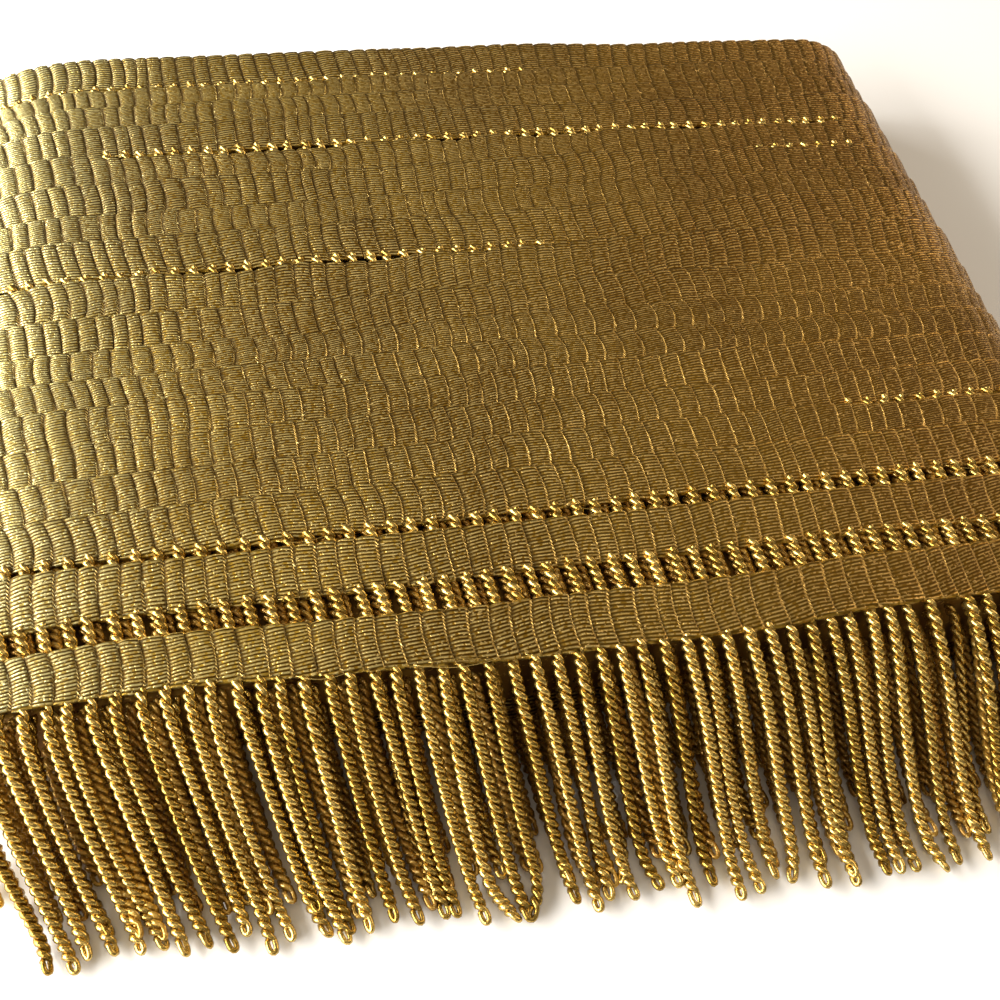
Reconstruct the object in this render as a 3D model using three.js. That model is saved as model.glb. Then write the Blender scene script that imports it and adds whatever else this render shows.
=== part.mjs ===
import * as THREE from 'three';

// A metallic bullion fringe trim, wound flat into a pack that lies on a table.
// +X runs along the wound rows, -Y is the way the fringe points, +Z is up.
// The pack is modelled from its front turn, at y = 0, to its back edge.
// The whole group is then moved, so that its box stands centred on the origin.

// The left end is softer than the right one: its round reaches further in.
const PACK_WIDTH = 206;
const PACK_HEIGHT = 21;
const LEFT_REACH = 28;
const RIGHT_REACH = 15;
const CROWN = 0.7;
const END_STEPS = 8;

// Each turn overlaps the one behind it: its front edge lies low, its back edge high.
const ROW_RELIEF = 0.55;
const STEP_DEPTH = 0.6;
const GAP_FLOOR = -2.4;
const GAP_WALL = 0.35;

const RIB_PITCH = 3.4;
const CORD_DIAMETER = 2.2;
const FRINGE_GAP = 0.3;
const STRIP_DEPTH = 1.3;

// The cords lean to the right towards their tips, less and less to the right, and more
// left of the line where the fan starts. They reach less far forward at the left,
// and least on the round sides, where they hang straight down.
const MIDDLE_LEAN = 0.14;
const LEAN_CHANGE = 0.0018;
const FAN_FROM = -26;
const FAN_LEAN_CHANGE = 0.0018;
const LEFT_LENGTH_SHARE = 0.85;
const RIGHT_LENGTH_SHARE = 1.07;
const SIDE_LENGTH_SHARE = 0.35;
const SIDE_TILT = 0.92;
const TOP_TILT = 0.96;

// The turns seen from the top, front to back: where the heading's front edge lies
// at the left and the right end, and the open gap behind its back edge there.
const ROWS = [
  { left: 0.0, right: 0.0, gapLeft: 5.2, gapRight: 4.9 },
  { left: 14.2, right: 14.6, gapLeft: 1.2, gapRight: 3.4 },
  { left: 25.4, right: 27.0, gapLeft: 0, gapRight: 0 },
  { left: 34.4, right: 35.6, gapLeft: 0, gapRight: 0 },
  { left: 42.2, right: 42.9, gapLeft: 0, gapRight: 0 },
  { left: 50.0, right: 50.6, gapLeft: 0, gapRight: 0 },
  { left: 58.0, right: 58.4, gapLeft: 0, gapRight: 0 },
  { left: 65.0, right: 65.3, gapLeft: 0, gapRight: 0 },
  { left: 71.9, right: 72.1, gapLeft: 0, gapRight: 0 },
  { left: 80.9, right: 81.0, gapLeft: 1.4, gapRight: 1.0 },
  { left: 92.4, right: 92.0, gapLeft: 0, gapRight: 0 },
  { left: 102.9, right: 101.9, gapLeft: 0, gapRight: 0 },
  { left: 110.6, right: 109.0, gapLeft: 0, gapRight: 0 },
  { left: 120.8, right: 118.2, gapLeft: 1.6, gapRight: 1.2 },
  { left: 130.6, right: 127.2, gapLeft: 0, gapRight: 0 },
  { left: 140.2, right: 136.6, gapLeft: 0, gapRight: 0 },
  { left: 147.6, right: 143.4, gapLeft: 1.3, gapRight: 1.0 },
  { left: 154.6, right: 150.0, gapLeft: 0, gapRight: 0 },
];
const BACK_EDGE = { left: 166.8, right: 158.6 };

// At the back the first turns lie on one another, around a flat slit.
const BASE_TURNS = 6;
const TURN_THICKNESS = 1.6;
const TURN_SEAM = 0.4;
const SEAM_DEPTH = 0.7;
const SLIT_DEPTH = 3;

const LEFT_BEND = -PACK_WIDTH / 2 + LEFT_REACH;
const RIGHT_BEND = PACK_WIDTH / 2 - RIGHT_REACH;
const MIDDLE = (LEFT_BEND + RIGHT_BEND) / 2;
const HALF_STRAIGHT = (RIGHT_BEND - LEFT_BEND) / 2;
const MID_HEIGHT = PACK_HEIGHT / 2;
const UPWARD = Math.PI / 2;

// A repeatable number from -1 to 1 for a strand and a use.
function uneven(index, use) {
  const wave = Math.sin(index * 12.9898 + use * 78.233) * 437.5453;
  return 2 * (wave - Math.floor(wave)) - 1;
}

// The points of one round end, from one angle to the other, drawn in by the inset,
// each with its outward direction. Angles are measured from +X.
function roundEnd(centreX, fullReach, firstAngle, inset) {
  const reach = fullReach - inset;
  const rise = MID_HEIGHT - inset;
  const points = [];
  for (let step = 0; step <= END_STEPS; step += 1) {
    const angle = firstAngle - (Math.PI * step) / END_STEPS;
    const normal = new THREE.Vector2(Math.cos(angle) / reach, Math.sin(angle) / rise).normalize();
    points.push({
      x: centreX + Math.cos(angle) * reach,
      z: MID_HEIGHT + Math.sin(angle) * rise,
      normalX: normal.x,
      normalZ: normal.y,
    });
  }
  return points;
}

// The flat-wound outline, clockwise from the left end of the base, with a low crown.
function outline(inset) {
  const crown = [-0.5, 0, 0.5].map((share) => ({
    x: MIDDLE + share * HALF_STRAIGHT,
    z: PACK_HEIGHT - inset + CROWN * (1 - share ** 2),
    normalX: 0,
    normalZ: 1,
  }));
  const leftEnd = roundEnd(LEFT_BEND, LEFT_REACH, 3 * UPWARD, inset);
  const rightEnd = roundEnd(RIGHT_BEND, RIGHT_REACH, UPWARD, inset);
  return [...leftEnd, ...crown, ...rightEnd];
}

// One ring of the wound body. The relief raises the top and the ends, not the flat base.
function bodyRing({ left, right, inset = 0, relief = 0 }) {
  return outline(inset).map((point) => {
    const share = (point.x + PACK_WIDTH / 2) / PACK_WIDTH;
    const topShare = (1 + point.normalZ) / 2;
    return [
      point.x + point.normalX * relief * topShare,
      THREE.MathUtils.lerp(left, right, share),
      point.z + point.normalZ * relief * topShare,
    ];
  });
}

function bodyStations() {
  const stations = [];
  ROWS.forEach((row, index) => {
    const next = ROWS[index + 1] ?? BACK_EDGE;
    const backLeft = next.left - Math.max(row.gapLeft, STEP_DEPTH);
    const backRight = next.right - Math.max(row.gapRight, STEP_DEPTH);
    stations.push({ left: row.left, right: row.right, relief: -ROW_RELIEF });
    stations.push({ left: backLeft, right: backRight, relief: ROW_RELIEF });
    if (row.gapLeft > 0) {
      stations.push({ left: backLeft + GAP_WALL, right: backRight + GAP_WALL, relief: GAP_FLOOR });
      stations.push({ left: next.left - GAP_WALL, right: next.right - GAP_WALL, relief: GAP_FLOOR });
    }
  });
  for (let turn = 0; turn < BASE_TURNS; turn += 1) {
    const outer = turn * TURN_THICKNESS;
    const inner = outer + TURN_THICKNESS - TURN_SEAM;
    const seam = { left: BACK_EDGE.left - SEAM_DEPTH, right: BACK_EDGE.right - SEAM_DEPTH };
    stations.push({ ...BACK_EDGE, inset: outer });
    stations.push({ ...BACK_EDGE, inset: inner });
    stations.push({ ...seam, inset: (inner + outer + TURN_THICKNESS) / 2 });
  }
  const slit = BASE_TURNS * TURN_THICKNESS;
  stations.push({ left: BACK_EDGE.left - SLIT_DEPTH, right: BACK_EDGE.right - SLIT_DEPTH, inset: slit });
  return stations;
}

function solidGeometry(vertices, triangles) {
  const geometry = new THREE.BufferGeometry();
  geometry.setAttribute('position', new THREE.Float32BufferAttribute(vertices.flat(), 3));
  geometry.setIndex(triangles.flat());
  return geometry;
}

function addQuad(triangles, a, b, c, d) {
  triangles.push([a, b, c], [a, c, d]);
}

function addCap(vertices, triangles, first, count, outward) {
  const centre = [0, 0, 0];
  for (let step = 0; step < count; step += 1) {
    for (const axis of [0, 1, 2]) {
      centre[axis] += vertices[first + step][axis] / count;
    }
  }
  vertices.push(centre);
  const middle = vertices.length - 1;
  for (let step = 0; step < count; step += 1) {
    const here = first + step;
    const next = first + ((step + 1) % count);
    triangles.push(outward ? [middle, here, next] : [middle, next, here]);
  }
}

// The wound turns as one body: a stack of outlines from the front to the slit at the back.
function woundTurnsGeometry() {
  const vertices = [];
  const triangles = [];
  const rings = bodyStations().map(bodyRing);
  const count = rings[0].length;
  rings.forEach((ring) => vertices.push(...ring));
  for (let level = 0; level + 1 < rings.length; level += 1) {
    for (let step = 0; step < count; step += 1) {
      const near = level * count + step;
      const nearNext = level * count + ((step + 1) % count);
      addQuad(triangles, near, nearNext, nearNext + count, near + count);
    }
  }
  addCap(vertices, triangles, 0, count, false);
  addCap(vertices, triangles, (rings.length - 1) * count, count, true);
  return solidGeometry(vertices, triangles);
}

// Where the cords of one row leave its heading: evenly along a path in the front plane.
function rootsAlong(path) {
  const count = Math.round(path.getLength() / RIB_PITCH);
  const roots = [];
  for (let index = 0; index < count; index += 1) {
    const share = (index + 0.5) / count;
    const point = path.getPointAt(share);
    const tangent = path.getTangentAt(share);
    roots.push({ x: point.x, z: point.y, normalX: -tangent.y, normalZ: tangent.x });
  }
  return roots;
}

// The front turn from the left end's side over the top to the right end's side.
function upperPath() {
  const path = new THREE.Path();
  path.absellipse(LEFT_BEND, MID_HEIGHT, LEFT_REACH, MID_HEIGHT, Math.PI, UPWARD, true);
  path.quadraticCurveTo(MIDDLE, PACK_HEIGHT + 2 * CROWN, RIGHT_BEND, PACK_HEIGHT);
  path.absellipse(RIGHT_BEND, MID_HEIGHT, RIGHT_REACH, MID_HEIGHT, UPWARD, 0, true);
  return path;
}

function levelPath(left, right, height) {
  return new THREE.Path([new THREE.Vector2(left, height), new THREE.Vector2(right, height)]);
}

// How far a cord has come down at a share of its way: steady, then level on the table.
function drop(share) {
  const way = Math.min(share / 0.9, 1);
  return 0.5 * way + 0.25 * (1 - Math.cos(Math.PI * way));
}

// One cord's centre line, from under its heading to its tip.
function cordPoint(root, index, fringe, share) {
  const startX = root.x - (root.normalX * CORD_DIAMETER) / 2;
  const startZ = root.z - (root.normalZ * CORD_DIAMETER) / 2;
  const acrossPack = (root.x + PACK_WIDTH / 2) / PACK_WIDTH;
  const sideShare = THREE.MathUtils.smoothstep(root.normalZ, SIDE_TILT, TOP_TILT);
  const lengthShare =
    THREE.MathUtils.lerp(LEFT_LENGTH_SHARE, RIGHT_LENGTH_SHARE, acrossPack) *
    THREE.MathUtils.lerp(SIDE_LENGTH_SHARE, 1, sideShare);
  const reach = (fringe.reach + fringe.lengthSpread * uneven(index, 1)) * lengthShare;
  const fan = FAN_LEAN_CHANGE * Math.max(FAN_FROM - root.x, 0);
  const leanShare = MIDDLE_LEAN - LEAN_CHANGE * root.x + fan;
  const lean = reach * leanShare + fringe.sideSpread * uneven(index, 2);
  const splay = fringe.splay * root.normalX;
  const sway = Math.sin(Math.PI * share) * fringe.sway * uneven(index, 3);
  return new THREE.Vector3(
    startX + (lean + splay) * share ** 1.3 + sway,
    -FRINGE_GAP - STRIP_DEPTH - reach * share,
    THREE.MathUtils.lerp(startZ, fringe.tipHeight, drop(share)),
  );
}

function cordRing(root, index, fringe, share) {
  const here = cordPoint(root, index, fringe, share);
  const behind = cordPoint(root, index, fringe, share - 0.02);
  const ahead = cordPoint(root, index, fringe, share + 0.02);
  const along = ahead.sub(behind).normalize();
  const rootSide = new THREE.Vector3(root.normalZ, 0, -root.normalX);
  const side = rootSide.lerp(new THREE.Vector3(1, 0, 0), Math.min(1.2 * share, 1));
  side.addScaledVector(along, -side.dot(along)).normalize();
  const up = new THREE.Vector3().crossVectors(along, side);
  const half = CORD_DIAMETER / 2;
  return [[-1, 1], [1, 1], [1, -1], [-1, -1]].map(([across, over]) => {
    const corner = here.clone().addScaledVector(side, across * half).addScaledVector(up, over * half);
    return [corner.x, Math.min(corner.y, -FRINGE_GAP - STRIP_DEPTH - 0.1), Math.max(corner.z, 0)];
  });
}

// A row's cords with their roots fused into the narrow strip that they hang from.
function fringeGeometry(roots, fringe) {
  const vertices = [];
  const triangles = [];
  const back = -FRINGE_GAP;
  const front = -FRINGE_GAP - STRIP_DEPTH;
  const half = CORD_DIAMETER / 2;
  roots.forEach((root) => {
    for (const across of [-half, half]) {
      const outerX = root.x + across * root.normalZ;
      const outerZ = root.z - across * root.normalX;
      const innerX = outerX - CORD_DIAMETER * root.normalX;
      const innerZ = outerZ - CORD_DIAMETER * root.normalZ;
      vertices.push([outerX, back, outerZ], [outerX, front, outerZ]);
      vertices.push([innerX, front, innerZ], [innerX, back, innerZ]);
    }
  });
  const stations = 2 * roots.length;
  for (let station = 0; station + 1 < stations; station += 1) {
    const here = 4 * station;
    const next = here + 4;
    addQuad(triangles, here, here + 1, next + 1, next);
    addQuad(triangles, here + 2, here + 3, next + 3, next + 2);
    addQuad(triangles, here + 3, here, next, next + 3);
    if (station % 2 === 1) {
      addQuad(triangles, here + 1, here + 2, next + 2, next + 1);
    }
  }
  const last = 4 * (stations - 1);
  addQuad(triangles, 3, 2, 1, 0);
  addQuad(triangles, last, last + 1, last + 2, last + 3);
  roots.forEach((root, index) => {
    const cell = 8 * index;
    let ring = [cell + 1, cell + 5, cell + 6, cell + 2];
    for (let step = 1; step <= fringe.steps; step += 1) {
      const first = vertices.length;
      vertices.push(...cordRing(root, index, fringe, step / fringe.steps));
      const nextRing = [first, first + 1, first + 2, first + 3];
      for (const corner of [0, 1, 2, 3]) {
        const after = (corner + 1) % 4;
        addQuad(triangles, ring[corner], nextRing[corner], nextRing[after], ring[after]);
      }
      ring = nextRing;
    }
    addQuad(triangles, ring[0], ring[3], ring[2], ring[1]);
  });
  return solidGeometry(vertices, triangles);
}

const UPPER_FRINGE = {
  reach: 33.2, lengthSpread: 1.1, sideSpread: 0.25,
  splay: 1.5, sway: 0.25, steps: 6, tipHeight: CORD_DIAMETER / 2,
};
const MIDDLE_FRINGE = {
  reach: 21, lengthSpread: 0.7, sideSpread: 0.25,
  splay: 0, sway: 0.2, steps: 5, tipHeight: CORD_DIAMETER / 2 + 0.7,
};
const LOWER_FRINGE = {
  reach: 12.5, lengthSpread: 0.6, sideSpread: 0.2,
  splay: 0, sway: 0.15, steps: 3, tipHeight: CORD_DIAMETER / 2,
};
const LEFT_MARGIN = 15;
const RIGHT_MARGIN = 10;
const FRONT_LEFT = -PACK_WIDTH / 2 + LEFT_MARGIN;
const FRONT_RIGHT = PACK_WIDTH / 2 - RIGHT_MARGIN;

const upperRoots = rootsAlong(upperPath());
const middlePath = levelPath(FRONT_LEFT, FRONT_RIGHT, MID_HEIGHT + CORD_DIAMETER / 2);
const middleRoots = rootsAlong(middlePath);
const lowerPath = levelPath(FRONT_LEFT, FRONT_RIGHT, CORD_DIAMETER);
const lowerRoots = rootsAlong(lowerPath);

function fabricMaterial(name, colour, roughness, metalness) {
  return new THREE.MeshStandardMaterial({ name, color: colour, roughness, metalness });
}

function addPiece(group, name, geometry, material) {
  const mesh = new THREE.Mesh(geometry, material);
  mesh.name = name;
  group.add(mesh);
}

const headingMaterial = fabricMaterial('heading', 0x9c7a35, 0.42, 0.75);
const cordMaterial = fabricMaterial('cords', 0xc9a544, 0.34, 0.8);

const pack = new THREE.Group();
addPiece(pack, 'wound_turns', woundTurnsGeometry(), headingMaterial);
addPiece(pack, 'upper_fringe', fringeGeometry(upperRoots, UPPER_FRINGE), cordMaterial);
addPiece(pack, 'middle_fringe', fringeGeometry(middleRoots, MIDDLE_FRINGE), cordMaterial);
addPiece(pack, 'lower_fringe', fringeGeometry(lowerRoots, LOWER_FRINGE), cordMaterial);

const packBox = new THREE.Box3().setFromObject(pack);
const packCentre = packBox.getCenter(new THREE.Vector3());
pack.position.set(-packCentre.x, -packCentre.y, -packBox.min.z);

export default pack;
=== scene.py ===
import math

import bpy
import numpy as np
from mathutils import Matrix, Vector


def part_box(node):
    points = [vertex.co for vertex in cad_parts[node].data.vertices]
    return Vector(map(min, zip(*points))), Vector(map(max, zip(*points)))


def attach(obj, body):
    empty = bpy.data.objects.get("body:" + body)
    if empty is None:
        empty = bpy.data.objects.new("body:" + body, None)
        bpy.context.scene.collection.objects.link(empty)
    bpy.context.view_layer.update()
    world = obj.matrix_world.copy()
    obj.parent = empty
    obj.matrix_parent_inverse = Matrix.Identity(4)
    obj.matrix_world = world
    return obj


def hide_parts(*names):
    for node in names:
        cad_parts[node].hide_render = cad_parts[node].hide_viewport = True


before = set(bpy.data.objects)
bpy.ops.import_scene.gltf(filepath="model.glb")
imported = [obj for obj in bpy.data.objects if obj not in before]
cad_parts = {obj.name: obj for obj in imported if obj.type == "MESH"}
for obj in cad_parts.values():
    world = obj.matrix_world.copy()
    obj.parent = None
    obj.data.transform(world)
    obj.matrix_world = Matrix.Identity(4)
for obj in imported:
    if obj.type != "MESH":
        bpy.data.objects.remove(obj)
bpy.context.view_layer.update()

bpy.ops.object.select_all(action="DESELECT")

# The pack, in millimetres from the front plane of its front turn, as in the solids

MM = 0.001
PACK_WIDTH = 206.0
PACK_HEIGHT = 21.0
LEFT_REACH = 28.0
RIGHT_REACH = 15.0
CROWN = 0.7
ROW_RELIEF = 0.4
RIB_PITCH = 3.4
CORD_DIAMETER = 2.2
FRINGE_GAP = 0.3
STRIP_DEPTH = 1.3
LEFT_BEND = LEFT_REACH - PACK_WIDTH / 2
RIGHT_BEND = PACK_WIDTH / 2 - RIGHT_REACH
MID_HEIGHT = PACK_HEIGHT / 2

# Each turn, front to back: its heading's front edge at the left and the right end, the gap
# behind it there, and from where to where along X that gap is open.
EVERYWHERE = (-200.0, 200.0)
ROWS = [
    (0.0, 0.0, 5.2, 4.9, EVERYWHERE),
    (14.2, 14.6, 1.2, 3.4, EVERYWHERE),
    (25.4, 27.0, 0.0, 0.0, None),
    (34.4, 35.6, 0.7, 0.8, (58.0, 200.0)),
    (42.2, 42.9, 0.0, 0.0, None),
    (50.0, 50.6, 0.0, 0.0, None),
    (58.0, 58.4, 0.0, 0.0, None),
    (65.0, 65.3, 0.0, 0.0, None),
    (71.9, 72.1, 0.0, 0.0, None),
    (80.9, 81.0, 1.8, 1.3, (-200.0, 17.0)),
    (92.4, 92.0, 0.0, 0.0, None),
    (102.9, 101.9, 0.0, 0.0, None),
    (110.6, 109.0, 0.9, 0.9, (48.0, 95.0)),
    (120.8, 118.2, 2.4, 1.8, (-72.0, 91.0)),
    (130.6, 127.2, 0.0, 0.0, None),
    (140.2, 136.6, 0.0, 0.0, None),
    (147.6, 143.4, 1.3, 1.0, (-200.0, 22.0)),
    (154.6, 150.0, 0.0, 0.0, None),
]
BACK_EDGE = (166.8, 158.6)
FRONT_WAVE_AT = (-103, -75, -58, -33, -12, 34, 48, 97)
FRONT_WAVE = (0.5, 1.1, 1.5, 0.1, -1.2, -1.2, 0.1, 1.2)
FOLLOWS_WAVE = 0.6
OVERLAP = 0.25
GAP_END = 12

# At the back the first turns lie on one another, around a flat slit.
FIRST_TURNS = 6
TURN_THICKNESS = 1.6
TURN_SEAM = 0.4
SLIT_DEPTH = 3.0

# Where each random draw starts. Most add the number of the turn or of the level.
SEEDS = dict(
    rib_width=100, turn_ribs=100, first_ribs=400, short_shift=50, edge=300, gap=500, turn=700,
    lean=900, bow=870, rise=40, back_edge=60, bunching=77,
)
NOISE_CELLS = 600
NOISE_START = 250

turns_low, turns_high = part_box("wound_turns")
FRONT_MIDDLE = np.array([(turns_low.x + turns_high.x) / 2, turns_low.y, 0.0])


def to_frame(points):
    """Points in the pack's millimetres as metres in the frame."""
    return np.asarray(points, float) * MM + FRONT_MIDDLE


def lerp(a, b, share):
    """The value a share of the way from a to b."""
    return a + (b - a) * share


def unit(vectors):
    """The vectors at length 1."""
    return vectors / np.linalg.norm(vectors, axis=-1, keepdims=True)


def eased(share):
    """A share that starts and ends slowly."""
    return share * share * (3 - 2 * share)


def arched(share):
    """0 at both ends of a share and 1 in its middle."""
    return 1 - (2 * share - 1) ** 2


def along_pack(x):
    """The share of the pack's width at x."""
    return (x + PACK_WIDTH / 2) / PACK_WIDTH


def smooth_noise(places, spacing, seed):
    """A repeatable smooth wave from about -1 to 1, with random heights at every spacing."""
    heights = np.random.default_rng(seed).uniform(-1, 1, NOISE_CELLS)
    cell = np.asarray(places) / spacing + NOISE_START
    low = np.floor(cell).astype(int)
    return lerp(heights[low % NOISE_CELLS], heights[(low + 1) % NOISE_CELLS], eased(cell - low))


# Camera, over the fringe, a little left of the middle and turned slightly to the right

CAMERA_PLACE = (-34.8, -93.1, 180.3)
CAMERA_TURN = math.radians(13.24)
CAMERA_DIP = math.radians(51.71)
CAMERA_ROLL = math.radians(4.52)
CAMERA_LENS = 43.89
CAMERA_SENSOR = 36
CAMERA_NEAR = 0.01


def add_camera():
    bpy.ops.object.camera_add(location=to_frame(CAMERA_PLACE))
    camera = bpy.context.object
    camera.name = "view_over_fringe"
    aim = Matrix.Rotation(-CAMERA_TURN, 3, "Z") @ Matrix.Rotation(math.pi / 2 - CAMERA_DIP, 3, "X")
    camera.rotation_euler = (aim @ Matrix.Rotation(CAMERA_ROLL, 3, "Z")).to_euler()
    camera.data.lens = CAMERA_LENS
    camera.data.sensor_width = CAMERA_SENSOR
    camera.data.clip_start = CAMERA_NEAR
    bpy.context.scene.camera = camera
    bpy.ops.object.select_all(action="DESELECT")


# The wound outline


def outline_at(stage, inset):
    """Points (x, z) of the outline drawn in by the inset, with their outward directions.

    The stage runs from 0 to 4: round the left end, over the top, round the right end and
    along the base.
    """
    stage = np.mod(stage, 4)
    on_left, on_top = stage < 1, (stage >= 1) & (stage < 2)
    round_end = on_left | ((stage >= 2) & (stage < 3))
    angle = np.where(on_left, math.pi * (1.5 - stage), math.pi * (2.5 - stage))
    reach = np.where(on_left, LEFT_REACH, RIGHT_REACH) - inset
    rise = MID_HEIGHT - inset
    centre = np.where(on_left, LEFT_BEND, RIGHT_BEND)
    share = np.where(on_top, stage - 1, 4 - stage)
    straight_x = lerp(LEFT_BEND, RIGHT_BEND, share)
    crown_z = PACK_HEIGHT - inset + CROWN * arched(share)
    x = np.where(round_end, centre + np.cos(angle) * reach, straight_x)
    z = np.where(round_end, MID_HEIGHT + np.sin(angle) * rise, np.where(on_top, crown_z, inset))
    normal_x = np.where(round_end, np.cos(angle) / reach, 0)
    normal_z = np.where(round_end, np.sin(angle) / rise, np.where(on_top, 1, -1))
    size = np.hypot(normal_x, normal_z)
    return x, z, normal_x / size, normal_z / size


STAGES = np.linspace(0, 4, 4001)
_x, _z, _, _ = outline_at(STAGES * (1 - 1e-9), 0)
LENGTHS = np.concatenate([[0], np.cumsum(np.hypot(np.diff(_x), np.diff(_z)))])
OUTLINE_LENGTH = LENGTHS[-1]
RIBS = round(OUTLINE_LENGTH / RIB_PITCH)


def outline(along, inset=0.0):
    """The outline at lengths along it, measured from under the left bend."""
    return outline_at(np.interp(np.mod(along, OUTLINE_LENGTH), LENGTHS, STAGES), inset)


def lengths_at(*stages):
    """The lengths along the outline at which stages begin."""
    return [np.interp(stage, STAGES, LENGTHS) for stage in stages]


# Closed bands and tubes

SEAM_MERGE = 0.000001
TUBE_STEP = 100
FIRST_SIDE = (0.1, 0.2, 1.0)


def vertex_places(mesh):
    places = np.empty(3 * len(mesh.vertices))
    mesh.vertices.foreach_get("co", places)
    return places.reshape(-1, 3)


def close_shell():
    """Merges the active shape's seams and turns its faces outward."""
    bpy.ops.object.mode_set(mode="EDIT")
    bpy.ops.mesh.select_all(action="SELECT")
    bpy.ops.mesh.remove_doubles(threshold=SEAM_MERGE)
    bpy.ops.mesh.normals_make_consistent(inside=False)
    bpy.ops.object.mode_set(mode="OBJECT")


def closed_grid(points, pattern):
    """A closed ring made from a grid: its first and last lines meet both ways.

    The points are (lines, across, 3) in millimetres, and the pattern holds their UV values.
    """
    points[-1] = points[0]
    points[:, -1] = points[:, 0]
    lines, across = points.shape[:2]
    bpy.ops.mesh.primitive_grid_add(x_subdivisions=across - 1, y_subdivisions=lines - 1, size=1)
    ring = bpy.context.object
    mesh = ring.data
    flat = vertex_places(mesh).round(5)
    order = np.lexsort((flat[:, 0], flat[:, 1]))
    placed = np.empty_like(flat)
    placed[order] = to_frame(points.reshape(-1, 3))
    mesh.vertices.foreach_set("co", placed.ravel())
    values = np.empty((len(flat), 2))
    values[order] = pattern.reshape(-1, 2)
    corners = np.empty(len(mesh.loops), np.int32)
    mesh.loops.foreach_get("vertex_index", corners)
    mesh.uv_layers[0].name = "pattern"
    mesh.uv_layers[0].data.foreach_set("uv", values[corners].ravel())
    close_shell()
    bpy.ops.object.shade_smooth()
    bpy.ops.object.select_all(action="DESELECT")
    return ring


def sweep(paths, radii, sides, name):
    """Closed tubes along many paths at once, (tubes, points, 3), as one mesh.

    The UV map holds the length along each tube and the share of the way round it. Each tube's
    lengths start at its own multiple of TUBE_STEP, so a material can tell the cords apart.
    """
    tubes, steps = paths.shape[:2]
    along = unit(np.gradient(paths, axis=1))
    side = np.empty_like(paths)
    side[:, 0] = unit(np.cross(along[:, 0], FIRST_SIDE))
    for step in range(1, steps):
        lean = np.sum(side[:, step - 1] * along[:, step], axis=-1, keepdims=True)
        side[:, step] = unit(side[:, step - 1] - lean * along[:, step])
    up = np.cross(along, side)
    angles = 2 * math.pi * np.arange(sides) / sides
    spokes = (
        np.cos(angles)[:, None] * side[:, :, None, :] + np.sin(angles)[:, None] * up[:, :, None, :]
    )
    rings = paths[:, :, None, :] + radii[..., None, None] * spokes
    first = np.arange(tubes * steps).reshape(tubes, steps)[:, :-1, None] * sides
    around = np.arange(sides)
    after = (around + 1) % sides
    corners = np.stack(
        [first + around, first + after, first + sides + after, first + sides + around], axis=-1
    )
    starts = np.arange(tubes)[:, None] * steps * sides
    root_caps = starts + around[::-1]
    tip_caps = starts + (steps - 1) * sides + around
    faces = corners.reshape(-1, 4).tolist() + root_caps.tolist() + tip_caps.tolist()
    mesh = bpy.data.meshes.new(name)
    mesh.from_pydata(to_frame(rings.reshape(-1, 3)).tolist(), [], faces)
    lengths = np.linalg.norm(np.diff(paths, axis=1), axis=-1).cumsum(axis=1)
    lengths = np.concatenate([np.zeros((tubes, 1)), lengths], axis=1)
    lengths = lengths + TUBE_STEP * np.arange(tubes)[:, None]
    here, there = lengths[:, :-1, None] + 0 * around, lengths[:, 1:, None] + 0 * around
    low, high = (around / sides) + 0 * here, ((around + 1) / sides) + 0 * here
    quads = np.stack(
        [np.stack([here, low], -1), np.stack([here, high], -1),
         np.stack([there, high], -1), np.stack([there, low], -1)], axis=-2
    )
    caps = np.zeros((2 * tubes * sides, 2))
    layer = mesh.uv_layers.new(name="pattern")
    layer.data.foreach_set("uv", np.concatenate([quads.reshape(-1, 2), caps]).ravel())
    piece = bpy.data.objects.new(name, mesh)
    bpy.context.collection.objects.link(piece)
    mesh.shade_smooth()
    return piece


def joined(pieces, name):
    """One piece from several, under the name."""
    bpy.ops.object.select_all(action="DESELECT")
    for piece in pieces:
        piece.select_set(True)
    bpy.context.view_layer.objects.active = pieces[0]
    bpy.ops.object.join()
    piece = bpy.context.object
    piece.name = piece.data.name = name
    bpy.ops.object.select_all(action="DESELECT")
    return piece


# Heading, with ribs across and fine threads along

# The grid lines of a rib where it shows and where it lies underneath
RIB_STEPS = (0.0, 0.1, 0.28, 0.55, 0.8, 0.92)
HIDDEN_STEPS = (0.0, 0.5)
SHOWN_FROM, SHOWN_TO = 0.3, 2.75
# How the rib widths spread, and how ribs shift along a turn: share of a rib, ribs per wave
WIDTH_SPREAD = 0.07
LONG_SHIFT, SHORT_SHIFT = (0.35, 7), (0.2, 2.5)
SEAM_RIBS = 12
# The swelling of a rib, from one groove to the next
PILLOW_AT = (0.0, 0.1, 0.28, 0.55, 0.8, 0.92, 1.0)
PILLOW = (-0.2, 0.0, 0.14, 0.18, 0.1, 0.04, -0.2)
PILLOW_SPREAD = (0.7, 1.3)
PILLOW_SIZE, PILLOW_LEFT_GAIN, PILLOW_BACK_GAIN = 0.6, 0.45, 0.5
LEFT_PART_FROM, LEFT_PART_OVER = -50, 40
# The lean of the ribs in degrees: at the left end, gained by the right end, its slow change
# at the front and the back, and what each turn and each rib has of its own
LEFT_LEAN, LEAN_GAIN = -11, 17
SLOW_LEAN, TURN_LEAN, RIB_LEAN = (3, 6), (2, 4), 2
BOW, BOW_SPREAD = 0.2, 0.8
SIDE_INSET = 0.35
RISE = 0.3
THREADS = 15
THREAD_STEP = 17
THREAD_SLOPE = 0.5
EDGE_DROP = 1.05


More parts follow.
